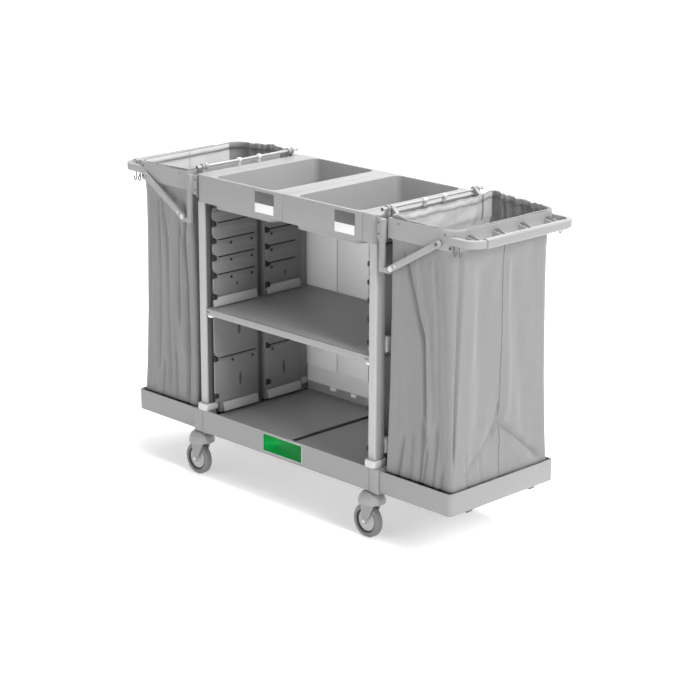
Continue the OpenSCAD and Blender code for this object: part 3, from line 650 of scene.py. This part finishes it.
# ---------- Joint lines and panel clips ----------
# Fine dark joints between the laminate slats and at the platform's columns, screws in
# the shelf's lip, laminate strips that close the back beside the kick panel, and pale
# moulded clips that hold the side panels to the posts.
lip_low, lip_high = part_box("shelf_lip")
slat_low, slat_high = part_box("back_slats")
kick_low, kick_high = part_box("back_kick_panel")
post_low, post_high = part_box("post_rear_right")
panel_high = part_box("side_panel_right_rear")[1]
base_low, base_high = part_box("base_platform")
shoe_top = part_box("post_shoes")[1][2]
slat_count = 5
lip_screws = (-0.427, -0.417, 0.417, 0.427)
joint_half = 0.0011
column_line, column_face = 0.4505, base_high[1] - 0.0045
joints = []
for step in range(1, slat_count):
    x = slat_low[0] + step * (slat_high[0] - slat_low[0]) / slat_count
    strip = oblong(x - joint_half, x + joint_half, slat_low[2] + 0.001, slat_high[2] - 0.001)
    joints.append(drawn_out("joint", strip, slat_low[1] - 0.0003, slat_low[1] + 0.001))
    joints.append(drawn_out("joint", strip, slat_high[1] - 0.001, slat_high[1] + 0.0003))
for x in lip_screws:
    joints.append(button((x, lip_low[1] - 0.0004, (lip_low[2] + lip_high[2]) / 2), 0.0036, 0.0016))
for x in (-column_line, column_line):
    strip = oblong(x - 0.0008, x + 0.0008, base_low[2] + 0.006, base_high[2] - 0.004)
    for face in (-1, 1):
        joints.append(drawn_out("joint", strip, face * column_face, face * (column_face + 0.0009)))
finish_piece(joined(joints, "fine_joints"), dark_fittings_and_shade, "chassis")
clip_heights = (0.345, 0.718)
fillers, clips = [], []
for way in (-1, 1):
    strip = oblong(way * (kick_high[0] - 0.001), way * (post_low[0] + 0.001), shoe_top + 0.001, kick_high[2])
    fillers.append(drawn_out("filler", strip, kick_low[1] + 0.001, kick_high[1] - 0.001))
    inner, outer, proud = panel_high[0] - 0.0003, post_high[0], post_high[0] + 0.007
    for face in (-1, 1):
        for z in clip_heights:
            clip = [(inner, z - 0.028), (outer, z - 0.028), (proud, z - 0.020),
                    (proud, z + 0.024), (outer, z + 0.030), (inner, z + 0.030)]
            clips.append(drawn_out("clip", [(way * x, height) for x, height in clip],
                                   face * (post_low[1] - 0.0015), face * (post_low[1] - 0.022)))
finish_piece(joined(fillers, "kick_fillers"), laminate_grey, "chassis")
panel_clips = joined(clips, "panel_clips")
round_edges(panel_clips, 0.002, 2)
finish_piece(panel_clips, fitting_pale, "chassis")

# ---------- Wire hooks ----------
# Black steel hooks for small things, two on each side of a ring, each bent from one wire
# and pushed up into the ring's band.
hook_steel = moulded_plastic("hook steel", 0.09, 0.35)
hook_low, hook_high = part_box("bag_hooks_right")
wire_half = 0.0021
hook_bends = [(0, 0), (0, -0.028), (0.005, -0.036), (0.011, -0.030), (0.011, -0.020)]
for side, way in (("left", -1), ("right", 1)):
    wires = []
    for face in (-1, 1):
        for start in (hook_low[0] + 0.002, hook_high[0] - 0.014):
            route = bpy.data.curves.new("hook_route", "CURVE")
            route.dimensions = "3D"
            line = route.splines.new("BEZIER")
            line.bezier_points.add(len(hook_bends) - 1)
            for stop, (along, down) in zip(line.bezier_points, hook_bends):
                stop.co = (way * (start + along), face * (-hook_low[1] - 0.002), hook_high[2] + down)
                stop.handle_left_type = stop.handle_right_type = "AUTO"
            route.bevel_depth = wire_half
            route.bevel_resolution = 3
            route.use_fill_caps = True
            pick(new_object("hook_wire", route))
            bpy.ops.object.convert(target="MESH")
            wires.append(bpy.context.object)
    hooks = joined(wires, "hooks_" + side)
    finish_piece(hooks, hook_steel, "frame_" + side)
    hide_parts("bag_hooks_" + side)

# ---------- Bags ----------
# Two grey woven polyester bags, each sewn from one wall with a seam down its end and a
# square base. The hem is turned in over the ring, and the cloth falls in loose folds.


def woven_cloth(name, colour):
    """Plain-weave polyester: crossed threads from the UV map, soft mottling and a faint sheen."""
    material = bpy.data.materials.new(name)
    material.use_nodes = True
    tree = material.node_tree
    shader = tree.nodes["Principled BSDF"]
    shader.inputs["Sheen Weight"].default_value = 0.25
    shader.inputs["Sheen Roughness"].default_value = 0.4
    place = add_node(tree, "ShaderNodeUVMap", {"uv_map": "cloth"})
    warp = add_node(tree, "ShaderNodeTexWave", {"bands_direction": "X"}, {"Scale": 220.0, "Distortion": 0.4})
    weft = add_node(tree, "ShaderNodeTexWave", {"bands_direction": "Y"}, {"Scale": 220.0, "Distortion": 0.4})
    threads = add_node(tree, "ShaderNodeMath", {"operation": "MULTIPLY"})
    slub = add_node(tree, "ShaderNodeTexNoise", values={"Scale": 26.0, "Detail": 6.0, "Roughness": 0.65})
    tone = add_node(tree, "ShaderNodeMix", {"data_type": "RGBA"})
    tone.inputs["A"].default_value = shade(colour, 0.9)
    tone.inputs["B"].default_value = shade(colour, 1.1)
    dry = add_node(tree, "ShaderNodeMapRange", values={"To Min": 0.66, "To Max": 0.82})
    fine = add_node(tree, "ShaderNodeBump", values={"Strength": 0.35, "Distance": 0.0002})
    rumple = add_node(tree, "ShaderNodeBump", values={"Strength": 0.5, "Distance": 0.0015})
    for wave in (warp, weft):
        tree.links.new(place.outputs["UV"], wave.inputs["Vector"])
    link_up(tree, [(place, "UV", slub, "Vector"), (warp, "Fac", threads, 0), (weft, "Fac", threads, 1),
                   (slub, "Fac", tone, "Factor"), (tone, "Result", shader, "Base Color"),
                   (slub, "Fac", dry, "Value"), (dry, "Result", shader, "Roughness"),
                   (slub, "Fac", rumple, "Height"), (threads, "Value", fine, "Height"),
                   (rumple, "Normal", fine, "Normal"), (fine, "Normal", shader, "Normal")])
    return material


def between(value, places):
    """Straight-line interpolation in a list of (place, value) pairs in rising order."""
    if value <= places[0][0]:
        return places[0][1]
    for (low, at_low), (high, at_high) in zip(places, places[1:]):
        if value <= high:
            return at_low + (at_high - at_low) * (value - low) / (high - low)
    return places[-1][1]


def held(value):
    """The value, held between 0 and 1."""
    return min(1.0, max(0.0, value))


def bell(offset, width):
    """A soft bump, 1 in its middle."""
    return math.exp(-(offset / width) ** 2)


# Walls of the hanging cloth at rising heights: inner end, outer end, side, and the radii
# of its outer and inner corners.
bag_walls = [
    (0.268, (0.508, 0.827, 0.254, 0.015, 0.01)), (0.4, (0.5095, 0.8235, 0.249, 0.018, 0.012)),
    (0.6, (0.5135, 0.8205, 0.2465, 0.027, 0.014)), (0.9, (0.5195, 0.8205, 0.248, 0.042, 0.014)),
    (1.05, (0.5265, 0.8225, 0.253, 0.054, 0.012)), (1.108, (0.53, 0.8255, 0.256, 0.058, 0.01)),
    (1.115, (0.5315, 0.8265, 0.2575, 0.054, 0.006)), (1.119, (0.5325, 0.8262, 0.2572, 0.0515, 0.004))]
# Folds by side, each as ([(height, place along the side)], depth, width), deepest in its
# middle. A minus sign pushes the cloth in.
right_folds = {
    "front": [
        ([(0.44, 0.61), (0.78, 0.59), (0.85, 0.49), (0.96, 0.36), (1.07, 0.22)], -0.0105, 0.03),
        ([(0.46, 0.68), (0.8, 0.66), (0.9, 0.58), (1.04, 0.46)], 0.0065, 0.045),
        ([(0.34, 0.93), (0.7, 0.92), (1.09, 0.91)], 0.0035, 0.04),
        ([(0.5, 0.8), (1.05, 0.79)], 0.004, 0.04), ([(0.3, 0.3), (0.62, 0.27)], -0.004, 0.05),
        ([(0.275, 0.17), (0.4, 0.22)], -0.0085, 0.022), ([(0.275, 0.36), (0.42, 0.38)], -0.006, 0.026),
        ([(0.275, 0.52), (0.46, 0.56)], -0.009, 0.02), ([(0.275, 0.58), (0.38, 0.64)], -0.0075, 0.018),
        ([(0.275, 0.74), (0.47, 0.8)], -0.0085, 0.026), ([(0.275, 0.86), (0.36, 0.93)], -0.006, 0.022)],
    "front corner": [
        ([(0.42, 0.74), (1.09, 0.8)], -0.015, 0.13)],
    "end": [
        ([(0.3, 0.1), (1.05, 0.11)], 0.0065, 0.07), ([(0.5, 0.26), (1.02, 0.24)], -0.006, 0.07),
        ([(0.52, 0.57), (1.06, 0.55)], 0.0055, 0.045),
        ([(0.42, 0.78), (0.86, 0.7), (1.00, 0.66)], -0.0055, 0.07),
        ([(0.285, 0.97), (0.47, 0.5)], -0.0085, 0.03), ([(0.275, 0.9), (0.4, 0.56)], 0.006, 0.08),
        ([(0.43, 0.42), (0.53, 0.485)], -0.006, 0.016), ([(0.285, 0.04), (0.44, 0.4)], -0.0045, 0.03),
        ([(0.275, 0.14), (0.38, 0.1)], -0.0055, 0.02), ([(0.275, 0.3), (0.36, 0.27)], -0.0035, 0.018)],
    "rear": [
        ([(0.5, 0.22), (1.2, 0.2)], -0.011, 0.04), ([(0.9, 0.36), (1.2, 0.42)], 0.008, 0.04),
        ([(0.45, 0.56), (1.2, 0.5)], -0.01, 0.035), ([(0.95, 0.66), (1.2, 0.7)], -0.012, 0.03),
        ([(0.4, 0.84), (1.18, 0.8)], -0.01, 0.035)],
    "hinge": [
        ([(0.95, 0.3), (1.2, 0.16)], -0.008, 0.035), ([(0.88, 0.4), (1.19, 0.34)], 0.006, 0.05),
        ([(0.8, 0.62), (1.2, 0.68)], -0.009, 0.035), ([(0.9, 0.84), (1.2, 0.86)], -0.008, 0.03),
        ([(0.3, 0.5), (0.7, 0.46)], -0.006, 0.08)]}
left_folds = {
    "front": [
        ([(0.3, 0.16), (0.75, 0.13), (0.92, 0.2), (1.02, 0.12)], -0.011, 0.03),
        ([(0.5, 0.24), (0.9, 0.27)], 0.007, 0.045), ([(0.62, 0.34), (0.95, 0.3)], -0.008, 0.026),
        ([(0.34, 0.55), (0.9, 0.62), (1.08, 0.72)], -0.007, 0.035),
        ([(0.4, 0.76), (1.05, 0.8)], -0.006, 0.03), ([(0.275, 0.88), (0.8, 0.9)], 0.0045, 0.04),
        ([(0.275, 0.4), (0.44, 0.44)], -0.007, 0.022), ([(0.275, 0.68), (0.4, 0.66)], -0.007, 0.022)],
    "end": [
        ([(0.3, 0.9), (1.05, 0.88)], 0.0065, 0.07), ([(0.45, 0.72), (1.02, 0.76)], -0.006, 0.07),
        ([(0.285, 0.03), (0.47, 0.5)], -0.0085, 0.03), ([(0.285, 0.96), (0.45, 0.54)], -0.006, 0.03),
        ([(0.5, 0.3), (1.02, 0.26)], -0.006, 0.06)],
    "rear": [
        ([(0.92, 0.18), (1.2, 0.12)], -0.013, 0.03), ([(0.96, 0.3), (1.2, 0.34)], -0.012, 0.024),
        ([(0.6, 0.48), (1.2, 0.46)], -0.01, 0.035), ([(0.96, 0.6), (1.2, 0.64)], -0.013, 0.024),
        ([(0.45, 0.8), (1.2, 0.76)], -0.01, 0.035)],
    "hinge": [
        ([(0.95, 0.3), (1.2, 0.2)], -0.009, 0.03), ([(0.8, 0.66), (1.2, 0.6)], -0.009, 0.035),
        ([(0.3, 0.42), (0.72, 0.48)], -0.006, 0.08)]}
# How far the hem stands above its lowest line, along each side.
right_hem = {"front": [(0, 0.01), (0.08, 0.013), (0.3, 0.002), (1, 0)],
             "end": [(0, 0), (0.5, 0.001), (1, 0.002)],
             "rear": [(0, 0.002), (0.15, 0.007), (0.5, 0.01), (0.72, 0.014), (0.9, 0.021), (1, 0.018)],
             "hinge": [(0, 0.018), (0.3, 0.008), (0.8, 0.008), (1, 0.01)]}
left_hem = {"front": [(0, 0.006), (0.5, 0.002), (1, 0)],
            "end": [(0, 0), (0.8, 0.004), (1, 0.006)],
            "rear": [(0, 0.006), (0.4, 0.014), (0.7, 0.021), (0.9, 0.015), (1, 0.01)],
            "hinge": [(0, 0.01), (0.3, 0.007), (1, 0.006)]}
fold_strength = 1.5
hem_low, hem_fold, hem_inset, hem_quiet = 1.1930, 0.028, 0.0042, 0.45
seam_place = 0.49
crumple_low, crumple_depth = 1.09, 0.011
broad_ripple, fine_ripple, slack = 0.0040, 0.0016, 0.0040
cloth_thickness, cloth_gap = 0.0012, 0.0008
wall_top, wall_bottom, wall_rows = 1.106, 0.30, 92
girth_height, shaded_rear_inside = 0.7, 0.19


def bag_stations():
    """Places round the bag as (side, share along it, is a corner), closer at the seam."""
    made = []
    for side, count in (("front", 62), ("end", 96), ("rear", 50), ("hinge", 60)):
        shares = [step / count for step in range(count)]
        if side == "end":
            shares = sorted(set(shares) | {seam_place + shift for shift in (-0.006, -0.003, 0.003, 0.006)})
        made += [(side, share, False) for share in shares]
        made += [(side, step / 10, True) for step in range(10)]
    return made


def bag_point(station, z, walls, folds, inset, quiet):
    """One point of the cloth, pushed in or out by its folds."""
    side, share, corner = station
    x0, x1, y, outer_r, inner_r = walls
    x0, x1, y = x0 + inset, x1 - inset, y - inset
    turn = {"front": -90, "end": 0, "rear": 90, "hinge": 180}[side]
    if corner:
        angle = math.radians(turn + 90 * share)
        r = outer_r if side in ("front", "end") else inner_r
        middle = {"front": (x1 - r, -y + r), "end": (x1 - r, y - r),
                  "rear": (x0 + r, y - r), "hinge": (x0 + r, -y + r)}[side]
        for line, depth, width in folds.get(side + " corner", []):
            low, high = line[0][0], line[-1][0]
            fade = held((z - low) / 0.08 + 1) * held((high - z) / 0.05 + 1)
            r += depth * fade * bell(share - between(z, line), width)
        return (middle[0] + r * math.cos(angle), middle[1] + r * math.sin(angle), z)
    start, end = {"front": ((x0 + inner_r, -y), (x1 - outer_r, -y)),
                  "end": ((x1, -y + outer_r), (x1, y - outer_r)),
                  "rear": ((x1 - outer_r, y), (x0 + inner_r, y)),
                  "hinge": ((x0, y - inner_r), (x0, -y + inner_r))}[side]
    out = (math.cos(math.radians(turn)), math.sin(math.radians(turn)))
    push = 0.0
    for line, depth, width in folds.get(side, []):
        low, high = line[0][0], line[-1][0]
        reach = min(0.06, 0.3 * (high - low))
        fade = held((z - low + reach) / reach) * held((high + reach - z) / reach)
        if fade > 0:
            push += fold_strength * depth * fade * bell(share - between(z, line), width)
    ease = min(1.0, 9 * share, 9 * (1 - share))
    push += broad_ripple * math.sin(13 * share + 5 * z) * math.sin(4 * z + 3 * share + 1)
    push += fine_ripple * math.sin(31 * share - 7 * z + 2) * math.sin(9 * z - 5 * share)
    if side in ("rear", "hinge") and z > crumple_low:
        crease = math.sin(43 * share + 55 * z) * math.sin(27 * share - 48 * z + 1)
        push -= crumple_depth * min(1.0, (z - crumple_low) / 0.04) * (0.5 + 0.5 * crease)
    push *= ease * quiet
    if side == "end":
        push += 0.0022 * bell(share - seam_place - 0.006, 0.004)
        push -= 0.0050 * bell(share - seam_place, 0.0030)
    push -= slack * quiet * ease
    return (start[0] + (end[0] - start[0]) * share + out[0] * push,
            start[1] + (end[1] - start[1]) * share + out[1] * push, z)


def between_walls(z):
    """The walls at one height."""
    return [between(z, [(height, wall[part]) for height, wall in bag_walls]) for part in range(5)]


def make_bag(name, folds, hem, mirrored):
    """The whole bag as one lofted sheet, from the turned-in hem to the middle of its base."""
    stations = bag_stations()
    count = len(stations)
    rows = [(share * hem_fold, hem_inset) for share in (1, 0.6, 0.2)] + [(0.0, 0.0028)]
    rows += [(drop, cloth_gap) for drop in (0.002, 0.008, 0.018, 0.030)]
    heights = [1.155, 1.145, 1.135, 1.127, 1.121, 1.118, 1.115, 1.111, wall_top]
    heights += [wall_top - step * (wall_top - wall_bottom) / wall_rows for step in range(1, wall_rows + 1)]
    heights += [0.293, 0.286, 0.280, 0.274, 0.270]
    points, places = [], []
    run = [0.0]
    girth = between_walls(girth_height)
    ring = [bag_point(station, girth_height, girth, {}, 0, 0) for station in stations]
    for here, there in zip(ring, ring[1:] + ring[:1]):
        run.append(run[-1] + math.dist(here, there))
    for drop, inset in rows:
        for station in stations:
            top = hem_low + between(1 if station[2] else station[1], hem[station[0]])
            if station[0] in ("rear", "hinge") and not station[2]:
                top += 0.0022 * math.sin(19 * station[1] + 1) * math.sin(41 * station[1])
            z = top - drop
            points.append(bag_point(station, z, between_walls(z), folds, inset, hem_quiet))
            places.append(z)
    for z in heights:
        quiet = between(z, [(0.27, 0.5), (0.31, 1.0), (1.04, 1.0), (1.10, 0.35), (1.13, 0.40)])
        for station in stations:
            points.append(bag_point(station, z, between_walls(z), folds, cloth_gap, quiet))
            places.append(z)
    last = points[-count:]
    centre = [sum(point[axis] for point in last) / count for axis in (0, 1)]
    base_run = [(0.985, 0.2672), (0.95, 0.2658)] + [(share, 0.2655) for share in (0.8, 0.55, 0.3, 0.1)]
    for share, z in base_run:
        for point in last:
            points.append((centre[0] + (point[0] - centre[0]) * share,
                           centre[1] + (point[1] - centre[1]) * share, z))
            places.append(z - 0.15 * (1 - share))
    if mirrored:
        points = [(-x, y, z) for x, y, z in points]
    total = len(points) // count
    faces = []
    for row in range(total - 1):
        for column in range(count):
            beside = (column + 1) % count
            quad = (row * count + column, row * count + beside,
                    (row + 1) * count + beside, (row + 1) * count + column)
            faces.append(quad if mirrored else quad[::-1])
    base = tuple(range((total - 1) * count, total * count))
    faces.append(base if mirrored else base[::-1])
    mesh = bpy.data.meshes.new(name)
    mesh.from_pydata(points, [], faces)
    # The turned-in hem takes the lighter inside cloth: painted light.
    for face in mesh.polygons[:2 * count]:
        face.material_index = 1
    cloth_map = mesh.uv_layers.new(name="cloth")
    for face in mesh.polygons:
        for loop in face.loop_indices:
            corner = mesh.loops[loop].vertex_index
            column = corner % count
            along = run[column]
            if column == 0 and any(mesh.loops[other].vertex_index % count > count // 2
                                   for other in face.loop_indices):
                along = run[-1]
            cloth_map.data[loop].uv = (along, places[corner])
    return new_object(name, mesh)


bag_cloth = woven_cloth("woven polyester", (0.170, 0.170, 0.173))
# Lighter grey inside the bag: painted light where light comes through the bag's mouth.
bag_inside_lit = woven_cloth("coated lining", (0.46, 0.46, 0.465))
for side, folds, hem in (("right", right_folds, right_hem), ("left", left_folds, left_hem)):
    bag = make_bag("cloth_bag_" + side, folds, hem, side == "left")
    bag.data.materials.append(bag_cloth)
    bag.data.materials.append(bag_inside_lit)
    pick(bag)
    wall = bag.modifiers.new("wall", "SOLIDIFY")
    wall.thickness = cloth_thickness
    wall.offset = -1
    wall.material_offset = 1
    bpy.ops.object.modifier_apply(modifier="wall")
    # The shaded rear inside wall goes back to the darker cloth: painted shade.
    for face in bag.data.polygons:
        if face.material_index and face.center.y > shaded_rear_inside and face.normal.y < 0:
            face.material_index = 0
    bpy.ops.object.shade_smooth()
    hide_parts("bag_" + side)
    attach(bag, "frame_" + side)
    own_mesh(bag)

# ---------- Casters ----------
# Swivel casters with a domed grey hood over the fork, a pale hub between black rings,
# and a grey rubber tyre.
fork_plastic = moulded_plastic("fork plastic", 0.22, 0.4)
axle_steel = moulded_plastic("axle steel", 0.5, 0.3)
hub_plastic = moulded_plastic("hub plastic", 0.36, 0.4)
tyre_rubber = moulded_plastic("tyre rubber", (0.15, 0.15, 0.153), 0.7)
ring_black = moulded_plastic("ring black", 0.012, 0.5)
for corner in ("fl", "fr", "rl", "rr"):
    for part, slot, finish, width in (("fork_", "fork_grey", fork_plastic, 0.0012),
                                      ("axle_", "axle_steel", axle_steel, 0.0008),
                                      ("hub_", "hub_grey", hub_plastic, 0.001),
                                      ("tyre_", "tyre_grey", tyre_rubber, 0.0)):
        from_node("caster_" + part + corner, part + corner, finish, width)
    middle = [(start + end) / 2 for start, end in zip(*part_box("caster_hub_" + corner))]
    rings = []
    for way in (-1, 1):
        bpy.ops.object.select_all(action="DESELECT")
        bpy.ops.mesh.primitive_torus_add(major_radius=0.0425, minor_radius=0.0032, major_segments=48,
                                         minor_segments=10, rotation=(math.pi / 2, 0, 0),
                                         location=(middle[0], middle[1] + way * 0.0088, middle[2]))
        bpy.ops.object.transform_apply()
        bpy.ops.object.shade_smooth()
        rings.append(bpy.context.object)
    finish_piece(joined(rings, "dust_rings_" + corner), ring_black, "wheel_" + corner)
